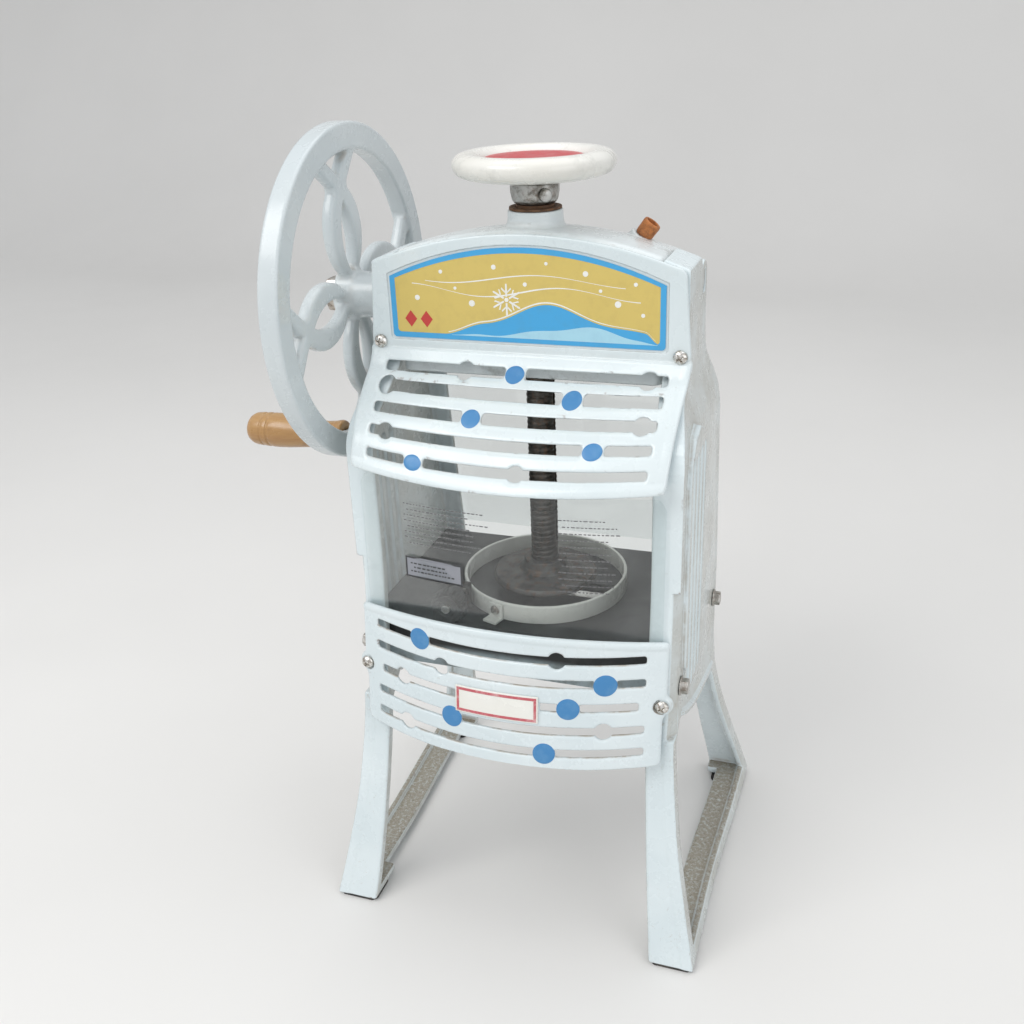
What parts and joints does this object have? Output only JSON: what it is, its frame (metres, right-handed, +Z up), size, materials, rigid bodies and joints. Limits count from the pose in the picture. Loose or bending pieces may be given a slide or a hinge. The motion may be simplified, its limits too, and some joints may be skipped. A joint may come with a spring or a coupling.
{
  "type": "shaved ice machine",
  "caption": "Hand-cranked block ice shaver: cast frame on splayed legs, side flywheel with wooden grip, top handwheel, clear front cover and slotted grilles.",
  "frame": {"origin": "middle of the bounding box, on the surface that the feet stand on", "axes": "+Z up, +X from the flywheel side to the plain side, -Y is the front"},
  "size_m": [0.4582, 0.3046, 0.7],
  "materials": {
    "paint": "pale blue-white gloss enamel, chipped and grimy",
    "white_paint": "white gloss enamel, yellowed at one side",
    "red_paint": "red gloss enamel",
    "decal": "printed plate",
    "steel": "worn steel",
    "chrome": "plated screws, tarnished",
    "iron": "dark greasy metal",
    "black_paint": "black satin",
    "black_plastic": "black moulded",
    "brass": "turned",
    "rusted": "rusty brown",
    "ring_white": "off-white",
    "wood": "turned and varnished",
    "rubber": "worn",
    "clear": "clear moulded sheet"
  },
  "bodies": {
    "frame": {"badge_plate": "paint", "blade_table": "black_paint", "boss_collar": "rusted", "decal_plate": "decal", "foot_pad_front_left": "rubber", "foot_pad_front_right": "rubber", "foot_pad_rear_left": "rubber", "foot_pad_rear_right": "rubber", "front_cover_upper": "paint", "gear_bush": "brass", "head_bolt_left_high": "steel", "head_bolt_left_low": "steel", "head_bolt_right_high": "steel", "head_bolt_right_low": "steel", "head_casting": "paint", "ice_ring": "ring_white", "lock_nut": "rusted", "lower_cover_screw_left": "chrome", "lower_cover_screw_right": "chrome", "lower_grille": "paint", "oil_plug": "rusted", "rear_cover": "clear", "rear_cover_screw_left": "chrome", "rear_cover_screw_right": "chrome", "ring_clip": "ring_white", "ring_screw": "steel", "shaft_bush": "brass", "side_bolt_left_front": "steel", "side_bolt_left_rear": "steel", "side_bolt_right_front": "steel", "side_bolt_right_rear": "steel", "side_frame_left": "paint", "side_frame_right": "paint", "upper_cover_screw_left": "chrome", "upper_cover_screw_right": "chrome"},
    "flywheel": {"flywheel": "paint", "drive_shaft": "steel", "shaft_nut": "steel", "bevel_pinion": "iron", "grip_bolt": "steel"},
    "grip": {"crank_grip": "wood"},
    "bevel_gear": {"bevel_gear": "iron", "gear_key": "steel"},
    "spindle": {"spindle": "iron", "clamp_disc": "iron", "handwheel": "white_paint", "handwheel_hub": "steel", "hub_set_screw": "steel", "handwheel_cap": "red_paint"},
    "front_cover": {"front_cover_clear": "clear"},
    "knob": {"adjusting_knob": "black_plastic", "knob_shaft": "steel"},
    "blade_carrier": {"blade_carrier": "iron", "blade": "steel", "blade_clamp_bar": "iron", "blade_screw_1": "steel", "blade_screw_2": "steel", "adjusting_yoke": "iron"}
  },
  "joints": [
    {"name": "crank_spin", "type": "hinge", "parent": "frame", "child": "flywheel", "pos_m": [-0.1221, -0.00275, 0.556], "axis": [1, 0, 0], "continuous": true},
    {"name": "grip_spin", "type": "hinge", "parent": "flywheel", "child": "grip", "pos_m": [-0.1801, -0.02575, 0.43], "axis": [1, 0, 0], "continuous": true},
    {"name": "gear_spin", "type": "hinge", "parent": "frame", "child": "bevel_gear", "pos_m": [0.0499, -0.00275, 0.54], "axis": [0, 0, 1], "continuous": true},
    {"name": "spindle_feed", "type": "slide", "parent": "bevel_gear", "child": "spindle", "axis": [0, 0, 1], "range_m": [0, 0.17]},
    {"name": "cover_lift", "type": "slide", "parent": "frame", "child": "front_cover", "axis": [0, 0, 1], "range_m": [0, 0.009]},
    {"name": "knob_turn", "type": "hinge", "parent": "frame", "child": "knob", "pos_m": [-0.0121, -0.08675, 0.305], "axis": [0, 1, 0], "range_deg": [0, 120]},
    {"name": "blade_rise", "type": "slide", "parent": "frame", "child": "blade_carrier", "axis": [0, 0, 1], "range_m": [0, 0.0015]}
  ],
  "couplings": [
    {"joint": "gear_spin", "follows": "crank_spin", "ratio": -0.5},
    {"joint": "knob_turn", "follows": "blade_rise", "rad_per_m": 1396}
  ]
}
